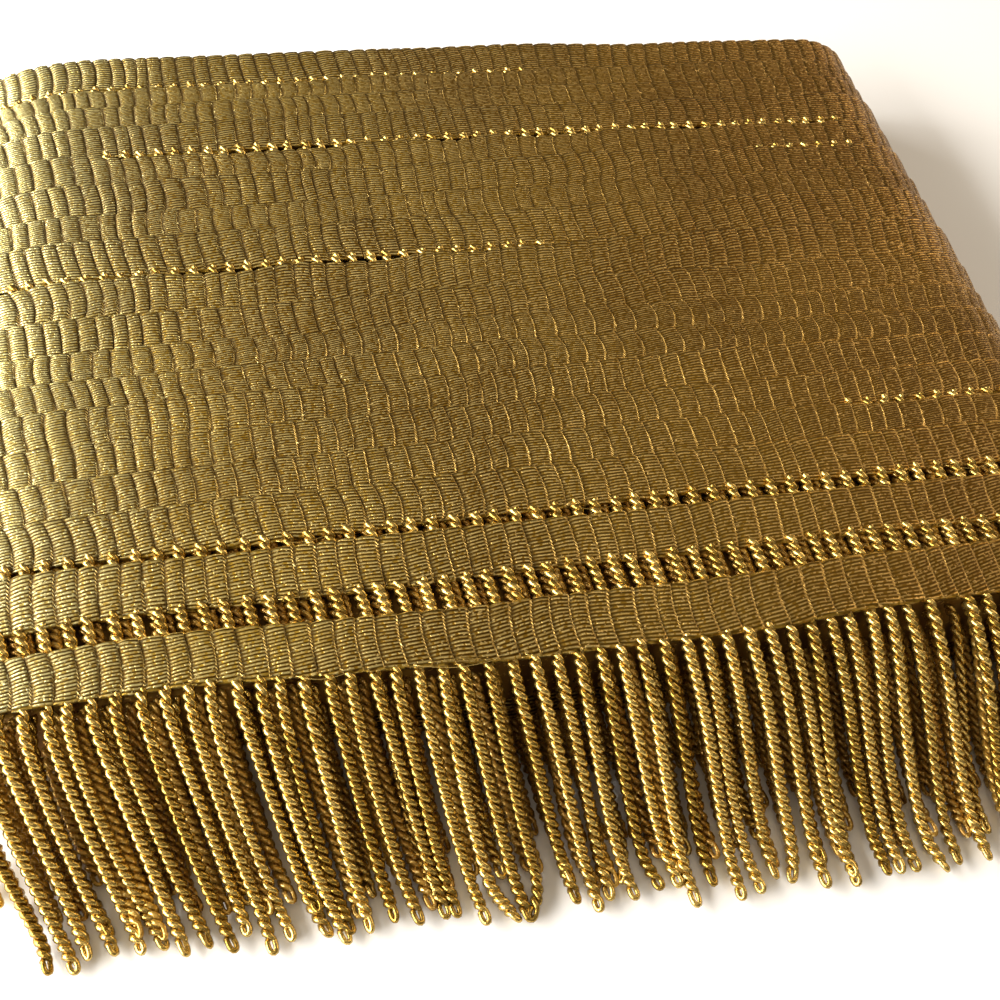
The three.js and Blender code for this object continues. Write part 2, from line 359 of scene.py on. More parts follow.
def rib_lines(seed):
    """Where a turn's grid lines run: lengths along the outline, rib numbers, places in the rib."""
    source = np.random.default_rng(SEEDS["rib_width"])
    widths = 1 + WIDTH_SPREAD * source.standard_normal(RIBS)
    starts = np.concatenate([[0], np.cumsum(widths)]) * OUTLINE_LENGTH / widths.sum()
    number = np.arange(RIBS + 1)
    free = np.clip(np.minimum(number, RIBS - number) / SEAM_RIBS, 0, 1)
    shift = LONG_SHIFT[0] * smooth_noise(number, LONG_SHIFT[1], seed)
    shift = shift + SHORT_SHIFT[0] * smooth_noise(
        number, SHORT_SHIFT[1], seed + SEEDS["short_shift"]
    )
    starts = starts + free * RIB_PITCH * shift
    rib, place = [], []
    for index in range(RIBS):
        stage = np.interp(starts[index], LENGTHS, STAGES)
        steps = RIB_STEPS if SHOWN_FROM < stage < SHOWN_TO else HIDDEN_STEPS
        rib += [index] * len(steps)
        place += steps
    rib, place = np.array(rib + [RIBS]), np.array(place + [0.0])
    along = np.interp(rib + place, np.arange(RIBS + 1), starts)
    return along, rib, place


def gap_share(x, opening):
    """1 where a gap is open and 0 where it is closed, with soft ends."""
    if opening is None:
        return 0 * x
    inside = np.minimum(x - opening[0], opening[1] - x)
    return np.clip(inside / GAP_END + 0.5, 0, 1)


def front_of(turn, x):
    """Where the front edge of a turn's heading lies at x."""
    left, right = ROWS[turn][:2] if turn < len(ROWS) else BACK_EDGE
    edge = lerp(left, right, along_pack(x))
    if turn == 0:
        return edge + np.interp(x, FRONT_WAVE_AT, FRONT_WAVE)
    return edge + 0.25 * smooth_noise(x, 17, SEEDS["edge"] + turn)


def back_of(turn, x):
    """Where its back edge lies: over the next turn's front edge, or short of it by the gap."""
    _, _, gap_left, gap_right, opening = ROWS[turn]
    gap = lerp(gap_left, gap_right, along_pack(x))
    follow = front_of(turn + 1, x)
    if turn == len(ROWS) - 1:
        return follow
    if turn == 0:
        follow = follow + FOLLOWS_WAVE * np.interp(x, FRONT_WAVE_AT, FRONT_WAVE)
    patches = 1
    if opening is not EVERYWHERE:
        patches = 0.85 + 0.4 * smooth_noise(x, 9, SEEDS["gap"] + turn)
    return follow + OVERLAP - (gap + OVERLAP) * gap_share(x, opening) * patches


def across_band():
    """The grid points across a band: share of its width, drop below its face, set-back."""
    shares = np.linspace(0.03, 0.97, 9)
    share = np.concatenate([[0, 0], shares, [1, 1, 0]])
    drop = np.concatenate([[EDGE_DROP, 0.35], 0 * shares, [0.3, EDGE_DROP, EDGE_DROP]])
    inward = np.concatenate([[0.25, 0.0], 0 * shares, [0.0, -0.15, 0.25]])
    return share, drop, inward


def band_pattern(rib, place, across):
    """The UV values of a band: ribs along it and threads across it."""
    return np.stack(np.broadcast_arrays(rib + place, across), axis=-1)


def heading_turn(turn):
    """One turn of the heading as a closed band round the pack."""
    along, rib, place = (line[:, None] for line in rib_lines(SEEDS["turn_ribs"] + turn))
    rib_of = rib % RIBS
    share, drop, inward = across_band()
    source = np.random.default_rng(SEEDS["turn"] + turn)
    x = outline(along)[0]
    across_pack = np.clip(along_pack(x), 0, 1)
    to_back = turn / len(ROWS)
    lean = LEFT_LEAN + LEAN_GAIN * across_pack
    lean = lean + lerp(*SLOW_LEAN, to_back) * smooth_noise(x, 34, SEEDS["lean"] + turn)
    lean = lean + lerp(*TURN_LEAN, to_back) * source.uniform(-1, 1)
    lean = lean + source.uniform(-RIB_LEAN, RIB_LEAN, RIBS)[rib_of]
    width = back_of(turn, x) - front_of(turn, x)
    bow = (BOW + BOW_SPREAD * smooth_noise(x, 27, SEEDS["bow"] + turn)) * arched(share)
    leaning = np.tan(np.radians(lean)) * (share - 0.5) * width
    x, z, normal_x, normal_z = outline(along + leaning + bow)
    top_share = (1 + normal_z) / 2
    bulge = np.sin(math.pi * place) * np.interp(share, (0, 0.1, 0.9, 1), (-0.15, 0, 0, 0.2))
    slope = THREAD_SLOPE * (place - 0.5) * np.interp(share, (0, 0.06, 0.94, 1), (0.3, 1, 1, 0.3))
    y = lerp(front_of(turn, x), back_of(turn, x), share) + inward + bulge + slope
    pillow = np.interp(place, PILLOW_AT, PILLOW) * source.uniform(*PILLOW_SPREAD, RIBS)[rib_of]
    at_left = np.clip((LEFT_PART_FROM - x) / LEFT_PART_OVER, 0, 1)
    swelling = PILLOW_SIZE + PILLOW_LEFT_GAIN * at_left
    pillow = pillow * (swelling + PILLOW_BACK_GAIN * to_back * (1 - across_pack))
    pillow = pillow * np.interp(share, (0, 0.12, 0.85, 1), (0.6, 1, 1, 0.75))
    relief = lerp(-ROW_RELIEF, ROW_RELIEF, share) * top_share
    height = relief + pillow - drop - SIDE_INSET * (1 - top_share)
    height = height + RISE * smooth_noise(x, 23, SEEDS["rise"] + turn) * top_share
    points = np.stack([x + normal_x * height, y, np.maximum(z + normal_z * height, 0)], axis=-1)
    across = THREADS * share + THREAD_STEP * turn + 0 * x
    return closed_grid(points, band_pattern(rib, place, across))


def first_turn(level):
    """The back edge of one of the first turns, which lie on one another around the slit."""
    along, rib, place = rib_lines(SEEDS["first_ribs"] + level)
    keep = (rib + place) % 1 <= 0.6
    along, rib, place = along[keep][:, None], rib[keep][:, None] % RIBS, place[keep][:, None]
    thickness = TURN_THICKNESS - TURN_SEAM
    share = np.array([0.0, 0.9, 1.0, 1.0, 0.9, 0.0, 0.0])
    depth = np.array([0.1, 0.0, 0.25, 0.75, 1.0, 0.9, 0.1]) * thickness
    x, z, normal_x, normal_z = outline(along + 0 * share, level * TURN_THICKNESS)
    back = front_of(len(ROWS), x) + 0.5 * smooth_noise(x, 31, SEEDS["back_edge"] + level)
    bulge = 0.5 * np.sin(math.pi * place) * share
    height = -depth + 0.25 * (np.sin(math.pi * place) - 0.5) * (depth < 0.5 * thickness)
    y = back - SLIT_DEPTH * (1 - share) + bulge - 0.5
    points = np.stack([x + normal_x * height, y, np.maximum(z + normal_z * height, 0)], axis=-1)
    across = 5 * share + 2 + THREAD_STEP * level + 0 * x
    return closed_grid(points, band_pattern(rib, place, across))


# Cords, two plies twisted together and turned back in a small loop at the tip

LAY = 3.1
LAY_SPREAD, SIZE_SPREAD = 0.05, 0.04
PLY_RADIUS = 0.54
LOOP_PLY = 0.42
LOOP_LENGTH = 1.6
LOOP_SPREAD = (0.8, 1.2)
LOOP_HALF = 0.66
LOOP_NECK = 1.1

# The cords lean to the right towards their tips, less and less to the right, and more left of
# the line where the fan starts. They are shorter at the left, and shortest on the round sides.
MIDDLE_LEAN = 0.14
LEAN_CHANGE = 0.0018
FAN_FROM = -26.0
FAN_LEAN_CHANGE = 0.0018
LEFT_LENGTH_SHARE = 0.85
RIGHT_LENGTH_SHARE = 1.07
SIDE_LENGTH_SHARE = 0.35
SIDE_TILT, TOP_TILT = 0.92, 0.96
HIDDEN_ROOT = 2.6
LOWEST_CORD = CORD_DIAMETER / 2 + 0.08
MISSING_CORD = 60.5
HOOKED_ABOVE = 0.6
HOOK_FROM = 0.8

# Each layer: how far its cords reach forward, how much each differs in that and sideways, how far
# those on the round ends splay, and how much each sways, lifts its tip or, for a few, hooks it
UPPER_FRINGE = dict(reach=33.2, spread=1.5, sideways=0.6, splay=1.5, sway=0.7, tip=0.3, hook=2.4)
SECOND_FRINGE = dict(reach=28.2, spread=2.4, sideways=0.8, splay=1.0, sway=0.6, tip=0.6, hook=1.5)
MIDDLE_FRINGE = dict(reach=21.5, spread=1.6, sideways=0.6, splay=0.0, sway=0.3, tip=0.0, hook=1.0)
LOWER_FRINGE = dict(reach=12.5, spread=0.8, sideways=0.3, splay=0.0, sway=0.2, tip=0.0, hook=0.0)

# What each of a cord's uneven numbers is for
REACH, SIDEWAYS, SWAY, DEPTH, START, TIP, HOOKED, HOOK = range(1, 9)
IN_GAP = 20


def uneven(index, use):
    """A repeatable number from -1 to 1 for a cord and a use, as in the solids."""
    wave = np.sin(index * 12.9898 + use * 78.233) * 437.5453
    return 2 * (wave - np.floor(wave)) - 1


def evenly(paths, count):
    """Each path again, with its points evenly spaced."""
    result = np.empty((len(paths), count, 3))
    for index, path in enumerate(paths):
        steps = np.linalg.norm(np.diff(path, axis=0), axis=-1)
        lengths = np.concatenate([[0], steps.cumsum()])
        wanted = np.linspace(0, lengths[-1], count)
        for axis in range(3):
            result[index, :, axis] = np.interp(wanted, lengths, path[:, axis])
    return result


def twisted_cords(name, paths, per_lay, sides, seed, looped=True):
    """Two-ply cords with S twist along centre lines (cords, points, 3)."""
    source = np.random.default_rng(seed)
    lengths = np.linalg.norm(np.diff(paths, axis=1), axis=-1).sum(axis=1)
    cords = len(paths)
    steps = max(4, round(lengths.mean() / LAY * per_lay))
    axis = evenly(paths, steps + 1)
    lay = LAY * (1 + LAY_SPREAD * source.standard_normal(cords))
    size = 1 + SIZE_SPREAD * source.standard_normal(cords)
    forward = unit(np.gradient(axis, axis=1))
    side = np.zeros_like(axis)
    side[..., 0] = 1
    side = unit(side - np.sum(side * forward, axis=-1, keepdims=True) * forward)
    up = np.cross(forward, side)
    to_go = lengths[:, None] * np.linspace(1, 0, steps + 1)
    tilt = source.uniform(-0.9, 0.9, cords)
    wobble = 0.5 * source.standard_normal(cords)[:, None] * np.sin(to_go * 0.35)
    angle = tilt[:, None] + 2 * math.pi * to_go / lay[:, None] + wobble * np.minimum(to_go / 4, 1)
    offset = (PLY_RADIUS * size)[:, None, None]
    arm = offset * (np.cos(angle)[..., None] * side + np.sin(angle)[..., None] * up)
    radius = PLY_RADIUS * size[:, None] * np.ones(steps + 1)
    if not looped:
        plies = np.concatenate([axis + arm, axis - arm])
        return sweep(plies, np.concatenate([radius, radius]), sides, name)
    near_tip = np.clip(1 - to_go / LOOP_NECK, 0, 1)
    radius = lerp(radius, LOOP_PLY, near_tip)
    turn = np.linspace(0, math.pi, 9)[1:-1]
    half = lerp(PLY_RADIUS, LOOP_HALF, np.sin(turn))[:, None]
    loop_length = LOOP_LENGTH * source.uniform(*LOOP_SPREAD, cords)[:, None, None]
    out = loop_length * (np.sin(turn) ** 0.8)[:, None]
    across = unit(arm[:, -1])[:, None]
    loop = axis[:, -1:] + across * (half * np.cos(turn)[:, None]) + forward[:, -1:] * out
    loop[..., 2] = np.maximum(loop[..., 2], LOOP_PLY)
    line = np.concatenate([axis + arm, loop, (axis - arm)[:, ::-1]], axis=1)
    thin = np.full((cords, len(turn)), LOOP_PLY)
    return sweep(line, np.concatenate([radius, thin, radius[:, ::-1]], axis=1), sides, name)


def drop(share):
    """How far down a cord is on its way, as a share of the height of its root."""
    way = np.clip(share / 0.9, 0, 1)
    return 0.5 * way + 0.25 * (1 - np.cos(math.pi * way))


def cord_lines(roots, fringe, bunching=0.0):
    """Centre lines of a row's cords, from under the heading to where each loop begins."""
    x, z, normal_x, normal_z = roots
    index = np.arange(len(x))
    over = np.clip((normal_z - SIDE_TILT) / (TOP_TILT - SIDE_TILT), 0, 1)
    length_share = lerp(LEFT_LENGTH_SHARE, RIGHT_LENGTH_SHARE, along_pack(x))
    length_share = length_share * lerp(SIDE_LENGTH_SHARE, 1, eased(over))
    reach = (fringe["reach"] + fringe["spread"] * uneven(index, REACH)) * length_share
    reach = (reach - LOOP_LENGTH)[:, None]
    sunk = CORD_DIAMETER * 0.62 + 0.3 * uneven(index, DEPTH)
    start_x = (x - normal_x * sunk + 0.35 * uneven(index, START))[:, None]
    start_z = (z - normal_z * sunk)[:, None]
    fan = MIDDLE_LEAN - LEAN_CHANGE * x + FAN_LEAN_CHANGE * np.maximum(FAN_FROM - x, 0)
    loose = fringe["sideways"] * (1 + np.clip(x / 45, 0, 1.8))
    lean = reach * fan[:, None] + (loose * uneven(index, SIDEWAYS))[:, None]
    lean = lean + bunching * smooth_noise(index, 1.7, SEEDS["bunching"])[:, None]
    splay = (fringe["splay"] * normal_x)[:, None]
    share = np.linspace(-HIDDEN_ROOT / fringe["reach"], 1, 60)
    ahead = np.maximum(share, 0)
    sway = np.sin(math.pi * ahead) * (fringe["sway"] * uneven(index, SWAY))[:, None]
    hook = np.where(uneven(index, HOOKED) > HOOKED_ABOVE, fringe["hook"] * uneven(index, HOOK), 0)
    sway = sway + hook[:, None] * np.maximum(ahead - HOOK_FROM, 0) ** 2 / 0.04
    tip = CORD_DIAMETER / 2 + fringe["tip"] * (1 + uneven(index, TIP))[:, None]
    path_x = start_x + (lean + splay) * ahead**1.3 + sway
    path_y = -FRINGE_GAP - STRIP_DEPTH - reach * share
    path_y = path_y + (front_of(0, x)[:, None]) * (1 - ahead)
    path_z = np.maximum(lerp(start_z, tip, drop(ahead)), LOWEST_CORD)
    return np.stack([path_x, path_y + 0 * path_x, path_z + 0 * path_x], axis=-1)


def upper_roots():
    """The roots over the top and the upper halves of the round ends, one for each rib."""
    first, last = lengths_at(0.5, 2.5)
    count = round((last - first) / RIB_PITCH)
    return outline(first + (np.arange(count) + 0.5) * (last - first) / count)


def level_roots(left, right, height):
    """The roots of a row that lies level inside the pack."""
    count = round((right - left) / RIB_PITCH)
    x = left + (np.arange(count) + 0.5) * (right - left) / count
    return x, np.full(count, height), np.zeros(count), np.ones(count)


def gap_cords(turn, depth_below, pitch):
    """The cords of the next turn, where they show in the gap behind a turn's heading."""
    along = np.arange(*lengths_at(0.1, 2.9), pitch)
    along = along + 0.3 * uneven(np.arange(len(along)), IN_GAP + turn)
    x = outline(along)[0]
    opening = back_of(turn, x) < front_of(turn + 1, x) - 0.4
    x = x[opening]
    root_x, root_z, normal_x, normal_z = (place[:, None] for place in outline(along[opening]))
    front = front_of(turn + 1, x)
    depth = np.maximum(front - back_of(turn, x), 1.2)
    share = np.linspace(0, 1, 8)
    y = (front + 1.0)[:, None] - (depth + 2.4)[:, None] * share
    sunk = depth_below + 0.7 * share**1.5
    drift = 0.3 * uneven(np.arange(len(x)), SWAY) + depth * (0.2 - LEAN_CHANGE * x)
    drift = drift[:, None] * share
    path_x = root_x - normal_x * sunk + normal_z * drift
    path_z = np.maximum(root_z - normal_z * sunk - normal_x * drift, LOWEST_CORD)
    return np.stack([path_x, y, path_z], axis=-1)


def stray_threads(count, seed):
    """Fine loose threads along the edges of the front rows."""
    source = np.random.default_rng(seed)
    start = source.uniform(-96, 90, count)
    length = source.uniform(4, 13, count)
    share = np.linspace(0, 1, 14)
    x = start[:, None] + length[:, None] * share
    turns = source.integers(0, 4, count)
    y = np.stack([front_of(turn, line) for turn, line in zip(turns, x)])
    y = y + source.uniform(-0.5, 0.3, count)[:, None]
    y = y + np.sin(math.pi * share) * source.uniform(-1.4, 0.6, count)[:, None]
    over_top = np.linspace(0.5, 2.5, 400)
    along = np.interp(x, outline_at(over_top, 0)[0], np.interp(over_top, STAGES, LENGTHS))
    root_x, root_z, normal_x, normal_z = outline(along)
    above = 0.12 + 0.35 * np.sin(math.pi * share) * source.uniform(0.2, 1, count)[:, None]
    return np.stack([root_x + normal_x * above, y, root_z + normal_z * above], axis=-1)


# What lies in the gaps and in the slit at the back, under the turns

CORE_SIDES = 96
CORE_INSET = 3.6
CORE_INSET_AT_BACK = 8.6
CORE_FRONT = 1.8
CORE_EDGE = 0.6


# A core in the place of the turns deep in the gaps, finished as their painted shadow
def wound_core():
    bpy.ops.mesh.primitive_cylinder_add(vertices=CORE_SIDES, radius=1, depth=2)
    piece = bpy.context.object
    mesh = piece.data
    flat = vertex_places(mesh)
    along = np.mod(np.arctan2(flat[:, 1], flat[:, 0]) / (2 * math.pi), 1) * OUTLINE_LENGTH
    at_back = flat[:, 2] > 0
    x, z, _, _ = outline(along, CORE_INSET)
    deep_x, deep_z, _, _ = outline(along, CORE_INSET_AT_BACK)
    x, z = np.where(at_back, deep_x, x), np.where(at_back, deep_z, z)
    y = np.where(at_back, front_of(len(ROWS), x) - SLIT_DEPTH, CORE_FRONT)
    mesh.vertices.foreach_set("co", to_frame(np.stack([x, y, z], axis=-1)).ravel())
    close_shell()
    bpy.ops.object.shade_smooth_by_angle(angle=CORE_EDGE)
    bpy.ops.object.select_all(action="DESELECT")
    piece.name = mesh.name = "wound_core"
    return piece


# Material nodes


def new_material(name):
    """A material with its node tree and its shader."""
    material = bpy.data.materials.new(name)
    material.use_nodes = True
    tree = material.node_tree
    return material, tree, tree.nodes["Principled BSDF"]


def node(tree, kind, inputs=(), **settings):
    """Adds a node. Inputs are pairs of a socket and a value or another node's output."""
    made = tree.nodes.new("ShaderNode" + kind)
    for key, value in settings.items():
        setattr(made, key, value)
    for socket, value in inputs:
        if isinstance(value, bpy.types.NodeSocket):
            tree.links.new(value, made.inputs[socket])
        else:
            made.inputs[socket].default_value = value
    return made


def maths(tree, operation, *values):
    return node(tree, "Math", list(enumerate(values)), operation=operation).outputs[0]


def product(tree, first, second):
    return maths(tree, "MULTIPLY", first, second)


def ramp(tree, value, low, high, to_low=0.0, to_high=1.0):
    """A soft change from one number to another, while the value goes from low to high."""
    inputs = [("Value", value), ("From Min", low), ("From Max", high)]
    inputs += [("To Min", to_low), ("To Max", to_high)]
    return node(tree, "MapRange", inputs, interpolation_type="SMOOTHSTEP").outputs[0]


def mixed(tree, share, first, second):
    """A colour a share of the way from the first to the second."""
    return node(tree, "Mix", [(0, share), (6, first), (7, second)], data_type="RGBA").outputs[2]


def vector(tree, x, y, z=0.0):
    return node(tree, "CombineXYZ", [(0, x), (1, y), (2, z)]).outputs[0]


def parts(tree, place):
    return node(tree, "SeparateXYZ", [(0, place)]).outputs


def noise(tree, place, scale=1.0, detail=1.0):
    inputs = [("Vector", place), ("Scale", scale), ("Detail", detail)]
    return node(tree, "TexNoise", inputs).outputs["Fac"]


def own_number(tree, number):
    """A random number from 0 to 1 of its own for each whole number."""
    return node(tree, "TexWhiteNoise", [("W", number)], noise_dimensions="1D").outputs[0]


def crests(tree, count):
    """1 in the middle of each whole step of the count, and 0 where two steps meet."""
    return product(tree, maths(tree, "PINGPONG", count, 0.5), 2.0)


def pattern_of(tree):
    """The two numbers of the piece's own UV map."""
    return parts(tree, node(tree, "UVMap", uv_map="pattern").outputs[0])[:2]


def spot_on(tree):
    """The place on the object, in metres."""
    return node(tree, "TexCoord").outputs["Object"]


def set_bumps(tree, shader, *layers):
    """Bumps over one another, each a strength, a distance and a height."""
    below = []
    for strength, distance, height in layers:
        inputs = [("Strength", strength), ("Distance", distance), ("Height", height)]
        below = [("Normal", node(tree, "Bump", inputs + below).outputs[0])]
    tree.links.new(below[0][1], shader.inputs["Normal"])


def set_gloss(shader, metallic, coat, coat_roughness):
    shader.inputs["Metallic"].default_value = metallic
    shader.inputs["Coat Weight"].default_value = coat
    shader.inputs["Coat Roughness"].default_value = coat_roughness


# Finishes, with pairs of colours for the left and the right end of the pack

# Heading colours: the right end's darker, redder colours are painted shade, away from the light at
# the left
DULL_GOLD_SHADED_RIGHT = (0.335, 0.19, 0.0175, 1), (0.172, 0.077, 0.007, 1)
CLEAR_GOLD_SHADED_RIGHT = (0.49, 0.31, 0.036, 1), (0.232, 0.113, 0.012, 1)
# Painted highlights on the threads, for the left and the right end
HIGHLIGHT_GOLD = (1.0, 0.86, 0.36, 1), (0.98, 0.60, 0.17, 1)
# Painted sheen on the left bend, in the ground and in the highlights
LEFT_BEND_SHEEN = (0.5, 0.47, 0.17, 1)
LEFT_BEND_SHEEN_PALE = (0.96, 0.93, 0.5, 1)
# Painted shade between the threads
SHADE_BETWEEN_THREADS = (0.05, 0.021, 0.0012, 1)
# Painted shade in the grooves between the ribs
SHADE_IN_RIB_GROOVES = (0.07, 0.036, 0.004, 1)
BINDER = (0.7, 0.44, 0.12, 1)
EDGE_TANGLE = (0.45, 0.29, 0.04, 1)
# Painted glints on the heading
THREAD_GLINT = (1.0, 0.62, 0.2, 1)
CORD_GOLD = (0.325, 0.196, 0.026, 1), (0.63, 0.44, 0.118, 1)
# A darker, browner copy of the cord gold: painted shade for the cords that lie under the others
SHADED_CORD_BROWN = (0.33, 0.17, 0.022, 1), (0.55, 0.33, 0.06, 1)
# Painted shade between the wraps of a cord's strip
SHADE_BETWEEN_WRAPS = (0.2, 0.1, 0.01, 1)
# Painted glints on the cords
CORD_GLINT = (1.0, 0.72, 0.25, 1)
# Painted shadow of the turns deep in the gaps, with painted glints
CORE_SHADOW_BROWN = (0.22, 0.10, 0.015, 1), (0.45, 0.24, 0.04, 1)
CORE_GLINT = (0.8, 0.5, 0.12, 1)
TABLE_WHITE = (0.88, 0.87, 0.86, 1), (0.92, 0.915, 0.91, 1)
WRAPS_PER_MM = 2.6
BINDER_AT = (0.86, 0.90), (0.94, 0.97)


def heading_material():
    """Fine metallic threads along the band, held by a thin binder at each rib."""
    material, tree, shader = new_material("woven_heading")
    even_rib, thread = pattern_of(tree)
    spot = spot_on(tree)
    spot_x, spot_y, _ = parts(tree, spot)
    # The share of painted shade towards the right, away from the light at the left; it also sets
    # how the painted highlights, glints and groove shade change there
    shade_to_right = ramp(tree, spot_x, -0.09, 0.10)
    # Where the left bend gets its painted sheen
    at_left = ramp(tree, spot_x, -0.10, -0.05, 1.0, 0.0)
    to_back = ramp(tree, spot_y, FRONT_MIDDLE[1] + 20 * MM, FRONT_MIDDLE[1] + 120 * MM)

    # Each rib's own threads, slightly slanted and rippled
    fray = noise(tree, vector(tree, product(tree, even_rib, 0.8), product(tree, thread, 1.4)))
    rib = maths(tree, "MULTIPLY_ADD", fray, 0.16, maths(tree, "ADD", even_rib, -0.08))
    place = maths(tree, "FRACT", rib)
    cell = maths(tree, "FLOOR", rib)
    ripple = noise(tree, vector(tree, product(tree, rib, 1.7), product(tree, thread, 0.4)))
    slant = product(tree, place, ramp(tree, noise(tree, spot, 45.0), 0.4, 0.6, -0.3, 0.9))
    shifted = maths(tree, "ADD", own_number(tree, cell), slant)
    line = maths(tree, "ADD", shifted, maths(tree, "MULTIPLY_ADD", ripple, 0.35, thread))
    strand = maths(tree, "FLOOR", line)
    crest = crests(tree, line)

    # Painted highlights: bright dashes on the threads, fewer towards the right
    own = node(
        tree, "TexWhiteNoise", [("Vector", vector(tree, cell, strand))], noise_dimensions="2D"
    ).outputs[0]
    dash_at = maths(tree, "MULTIPLY_ADD", rib, 3.6, product(tree, own, 5.0))
    dash = ramp(tree, noise(tree, vector(tree, dash_at, strand)), 0.4, 0.52)
    dash = product(tree, dash, ramp(tree, own, 0.0, 0.8, 0.4, 1.0))
    dash = product(tree, dash, ramp(tree, shade_to_right, 0.4, 1.0, 1.0, 0.55))
    bright = product(tree, dash, ramp(tree, crest, 0.42, 0.78))

    # Ground, darker and redder towards the right as painted shade, with painted shade between the
    # threads
    broad = ramp(tree, noise(tree, spot, 30.0, 3.0), 0.35, 0.65)
    dull, clear = mixed(tree, shade_to_right, *DULL_GOLD_SHADED_RIGHT), mixed(tree, shade_to_right, *CLEAR_GOLD_SHADED_RIGHT)
    ground = mixed(tree, broad, dull, clear)
    # Painted sheen on the left bend, over the ground
    ground = mixed(tree, product(tree, at_left, 0.55), ground, LEFT_BEND_SHEEN)
    # The colour of the painted highlights, paler still in the painted sheen of the left bend
    pale = mixed(tree, at_left, mixed(tree, shade_to_right, *HIGHLIGHT_GOLD), LEFT_BEND_SHEEN_PALE)
    # Painted shade in the hollows between the threads, lighter towards the right
    thread_shade = product(
        tree, ramp(tree, crest, 0.15, 0.62, 1.0, 0.0), ramp(tree, shade_to_right, 0.2, 1.0, 1.0, 0.55)
    )
    body = mixed(tree, thread_shade, ground, SHADE_BETWEEN_THREADS)
    body = mixed(tree, bright, body, pale)

    # Painted shade in the grooves between the ribs, deepest at the left and the back, with the
    # binder in dots
    groove = maths(
        tree, "MAXIMUM", ramp(tree, place, 0.04, 0.28, 1.0, 0.0), ramp(tree, place, 0.84, 0.97)
    )
    depth = ramp(tree, shade_to_right, 0.2, 1.0, 0.9, 0.3)
    depth = maths(tree, "MAXIMUM", depth, product(tree, to_back, 0.7))
    body = mixed(tree, product(tree, groove, depth), body, SHADE_IN_RIB_GROOVES)
    (rise_from, rise_to), (fall_from, fall_to) = BINDER_AT
    on_binder = product(
        tree, ramp(tree, place, rise_from, rise_to), ramp(tree, place, fall_from, fall_to, 1.0, 0.0)
    )
    dots = maths(tree, "PINGPONG", product(tree, thread, 0.9), 0.5)
    dots = ramp(tree, dots, 0.0, 0.3, 0.25, 1.0)
    dots = product(tree, dots, maths(tree, "MULTIPLY_ADD", to_back, -0.65, 0.8))
    dots = product(tree, dots, ramp(tree, spot_x, -0.07, 0.0, 0.2, 1.0))
    body = mixed(tree, product(tree, on_binder, dots), body, BINDER)

    # Tangled edges and single painted glints, more of them towards the right
    across = maths(tree, "FRACT", product(tree, thread, 1 / THREAD_STEP))
    across = product(tree, across, THREAD_STEP)
    edge = maths(
        tree, "MAXIMUM", ramp(tree, across, 0.1, 0.7, 1.0, 0.0), ramp(tree, across, 14.3, 14.9)
    )
    tangle = ramp(tree, noise(tree, spot, 700.0, 2.0), 0.42, 0.6, 0.0, 0.7)
    body = mixed(tree, product(tree, edge, tangle), body, EDGE_TANGLE)
    more_at_right = ramp(tree, spot_x, 0.03, 0.1)
    sparkle = maths(tree, "MULTIPLY_ADD", more_at_right, 0.06, noise(tree, spot, 1700.0))
    glint = product(tree, ramp(tree, sparkle, 0.66, 0.73), 0.5)
    body = mixed(tree, glint, body, mixed(tree, shade_to_right, pale, THREAD_GLINT))
    tree.links.new(body, shader.inputs["Base Color"])

    grain = noise(tree, spot, 2600.0, 2.0)
    set_gloss(shader, metallic=0.95, coat=0.04, coat_roughness=0.35)
    rough = maths(tree, "MULTIPLY_ADD", bright, -0.18, 0.42)
    rough = maths(tree, "MULTIPLY_ADD", grain, 0.12, rough)
    tree.links.new(rough, shader.inputs["Roughness"])
    threads = maths(tree, "MULTIPLY_ADD", bright, 0.5, crest)
    set_bumps(tree, shader, (0.9, 0.00014, threads), (0.5, 0.0001, grain))
    return material


def cord_material(name, colours, metallic, sparkle):
    """Metallic strip wound round a soft core, each cord a little brighter or duller."""
    material, tree, shader = new_material(name)
    along, around = pattern_of(tree)
    spot = spot_on(tree)
    own = own_number(tree, maths(tree, "FLOOR", product(tree, along, 1 / TUBE_STEP)))
    turns = maths(tree, "MULTIPLY_ADD", along, WRAPS_PER_MM, around)
    wrap = crests(tree, turns)
    strip = vector(tree, maths(tree, "FLOOR", turns), product(tree, around, 1.5))
    tone = maths(tree, "MULTIPLY_ADD", own, 0.9, -0.25)
    tone = maths(tree, "MULTIPLY_ADD", noise(tree, strip, 1.7), 0.6, tone)
    # Painted glints on the strip
    glint = product(tree, ramp(tree, noise(tree, spot, 2000.0), 0.60, 0.68), sparkle)
    body = mixed(tree, ramp(tree, tone, 0.1, 0.8), *colours)
    # Painted shade where two wraps of the strip meet
    body = mixed(tree, ramp(tree, wrap, 0.0, 0.35, 0.3, 0.0), body, SHADE_BETWEEN_WRAPS)
    body = mixed(tree, glint, body, CORD_GLINT)
    tree.links.new(body, shader.inputs["Base Color"])
    grain = noise(tree, spot, 3200.0, 2.0)
    set_gloss(shader, metallic=metallic, coat=0.25, coat_roughness=0.25)
    tree.links.new(maths(tree, "MULTIPLY_ADD", grain, 0.16, 0.17), shader.inputs["Roughness"])
    set_bumps(tree, shader, (0.3, 0.00005, wrap), (0.3, 0.00004, grain))
    return material


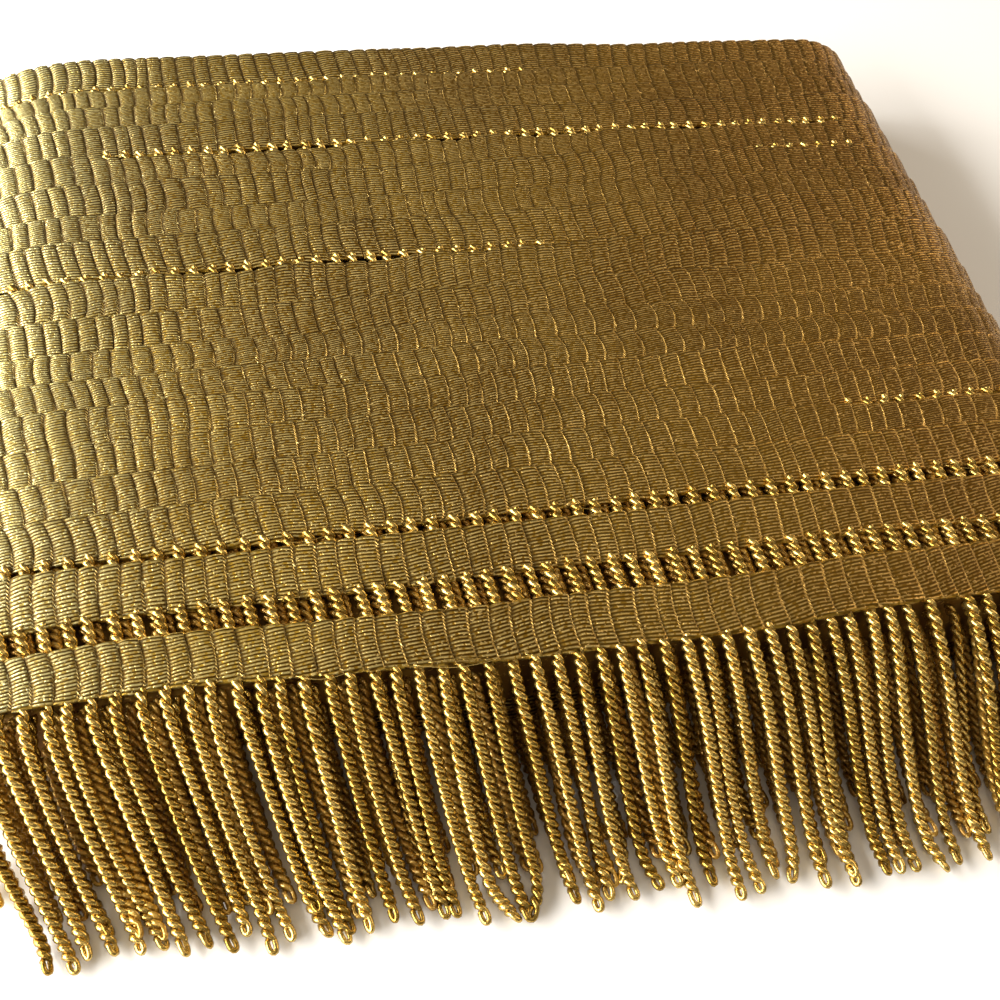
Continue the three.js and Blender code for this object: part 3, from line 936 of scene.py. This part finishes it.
def core_material():
    """The brown shadow of the turns that lie deep in the gaps."""
    material, tree, shader = new_material("shadowed_turns")
    spot = spot_on(tree)
    inputs = [("Vector", spot), ("Scale", 46.0), ("Distortion", 1.5)]
    ripple = node(tree, "TexWave", inputs, bands_direction="X").outputs["Fac"]
    body = mixed(tree, ramp(tree, ripple, 0.2, 0.8), *CORE_SHADOW_BROWN)
    # Painted glints in the shadow
    body = mixed(tree, ramp(tree, noise(tree, spot, 1500.0, 2.0), 0.62, 0.72), body, CORE_GLINT)
    tree.links.new(body, shader.inputs["Base Color"])
    shader.inputs["Metallic"].default_value = 0.3
    shader.inputs["Roughness"].default_value = 0.6
    set_bumps(tree, shader, (0.8, 0.0003, ripple))
    return material


def table_material():
    material, tree, shader = new_material("pale_table")
    body = mixed(tree, noise(tree, spot_on(tree), 8.0, 2.0), *TABLE_WHITE)
    tree.links.new(body, shader.inputs["Base Color"])
    shader.inputs["Roughness"].default_value = 0.7
    return material


# Light and table

DAYLIGHT = (1.0, 0.98, 0.94)
LAMPLIGHT = (1.0, 0.82, 0.6)
ROOM_COLOUR = (1.0, 0.92, 0.8, 1)
ROOM_STRENGTH = 0.2
TABLE_SIZE = 6
LIT_PLACE = (0, 60, 10)


def add_softbox(name, direction, distance, width, height, power, colour):
    """A soft light that faces the middle of the pack from a direction."""
    way = Vector(direction).normalized()
    bpy.ops.object.light_add(type="AREA", location=Vector(to_frame(LIT_PLACE)) + way * distance)
    lamp = bpy.context.object
    lamp.name = name
    lamp.data.shape = "RECTANGLE"
    lamp.data.size, lamp.data.size_y = width, height
    lamp.data.energy = power
    lamp.data.color = colour
    lamp.rotation_euler = way.to_track_quat("Z", "Y").to_euler()
    bpy.ops.object.select_all(action="DESELECT")


def add_table():
    bpy.ops.mesh.primitive_plane_add(size=TABLE_SIZE, location=(0, 0, 0))
    table = bpy.context.object
    table.name = "table_top"
    table.data.materials.append(table_material())
    bpy.ops.object.select_all(action="DESELECT")


def add_room():
    world = bpy.data.worlds.new("studio")
    world.use_nodes = True
    background = world.node_tree.nodes["Background"]
    background.inputs[0].default_value = ROOM_COLOUR
    background.inputs[1].default_value = ROOM_STRENGTH
    bpy.context.scene.world = world


# The pieces, each with its finish

UPPER_SIDES, LOWER_SIDES = 6, 4
GAP_SIDES = 5
SECOND_ROW = (-92, 96, 18.3)
MIDDLE_ROW = (-88, 93, MID_HEIGHT + CORD_DIAMETER / 2)
LOWER_ROW = (-88, 93, CORD_DIAMETER)
STRAY_THREADS, STRAY_SEED, STRAY_RADIUS, STRAY_SIDES = 26, 91, 0.07, 4


def dress(piece, material, slot, *nodes):
    """Gives a piece its finish, hangs it on the root body and hides the nodes it stands for."""
    piece.data.materials.clear()
    piece.data.materials.append(material)
    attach(piece, "root")
    if nodes:
        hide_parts(*nodes)


def dress_cords(name, lines, per_lay, sides, seed, material, *nodes):
    dress(twisted_cords(name, lines, per_lay, sides, seed), material, "cords", *nodes)


def dress_gaps(name, turns, material, per_lay, sides, depth_below, pitch, seed):
    """The cords in several gaps, as one piece."""
    rows = [
        twisted_cords(
            f"{name}_{turn}", gap_cords(turn, depth_below, pitch), per_lay, sides, seed + turn,
            looped=False,
        )
        for turn in turns
    ]
    dress(joined(rows, name), material, "cords")


add_camera()
bpy.context.scene.view_settings.view_transform = "Standard"

heading = heading_material()
gold_cord = cord_material("twisted_cord", CORD_GOLD, metallic=0.92, sparkle=0.2)
# The same cord in painted shade, for the rows and gaps that lie under the others
shaded_cord = cord_material("shadowed_cord", SHADED_CORD_BROWN, metallic=0.6, sparkle=1.0)

for number, (start, stop) in enumerate(((0, 6), (6, 12), (12, 18)), 1):
    band = joined([heading_turn(turn) for turn in range(start, stop)], f"heading_rows_{number}")
    dress(band, heading, "heading", "wound_turns")
first_turns = joined([first_turn(level) for level in range(1, FIRST_TURNS)], "first_turns")
dress(first_turns, heading, "heading")
dress(wound_core(), core_material(), "heading")

roots = upper_roots()
upper = cord_lines(roots, UPPER_FRINGE, bunching=0.8)
upper = upper[np.abs(roots[0] - MISSING_CORD) > RIB_PITCH / 2]
half = len(upper) // 2
dress_cords("fringe_left", upper[:half], 10, UPPER_SIDES, 11, gold_cord, "upper_fringe")
dress_cords("fringe_right", upper[half:], 10, UPPER_SIDES, 12, gold_cord)
second = cord_lines(level_roots(*SECOND_ROW), SECOND_FRINGE, bunching=0.9)
# One cord in three of the second row keeps the lit gold, the rest are in painted shade
clear = np.arange(len(second)) % 3 == 0
dress_cords("fringe_second", second[~clear], 8, LOWER_SIDES, 13, shaded_cord)
dress_cords("fringe_between", second[clear], 8, LOWER_SIDES, 16, gold_cord)
middle = cord_lines(level_roots(*MIDDLE_ROW), MIDDLE_FRINGE)
dress_cords("fringe_middle", middle, 7, LOWER_SIDES, 14, shaded_cord, "middle_fringe")
lower = cord_lines(level_roots(*LOWER_ROW), LOWER_FRINGE)
dress_cords("fringe_lower", lower, 6, LOWER_SIDES, 15, shaded_cord, "lower_fringe")

dress_gaps("cords_in_gaps", (0, 1, 3, 9, 12, 13, 16), gold_cord, per_lay=8, sides=GAP_SIDES,
           depth_below=0.45, pitch=RIB_PITCH, seed=30)
dress_gaps("cords_under_gaps", (0, 1), shaded_cord, per_lay=7, sides=LOWER_SIDES,
           depth_below=1.7, pitch=2.1, seed=50)

strays = stray_threads(STRAY_THREADS, STRAY_SEED)
thin = np.full(strays.shape[:2], STRAY_RADIUS)
dress(sweep(strays, thin, STRAY_SIDES, "stray_threads"), gold_cord, "cords")

add_table()
add_room()
add_softbox("window_left", (-0.9, -0.1, 0.34), 0.7, 0.9, 0.4, 18.6, DAYLIGHT)
add_softbox("window_behind", (-0.7, 0.62, 0.36), 0.8, 0.4, 0.3, 4.8, DAYLIGHT)
add_softbox("room_right", (0.8, 0.35, 0.5), 0.9, 0.6, 0.5, 2.8, LAMPLIGHT)
add_softbox("overhead", (-0.1, -0.35, 1.0), 0.9, 0.8, 0.8, 1.5, LAMPLIGHT)
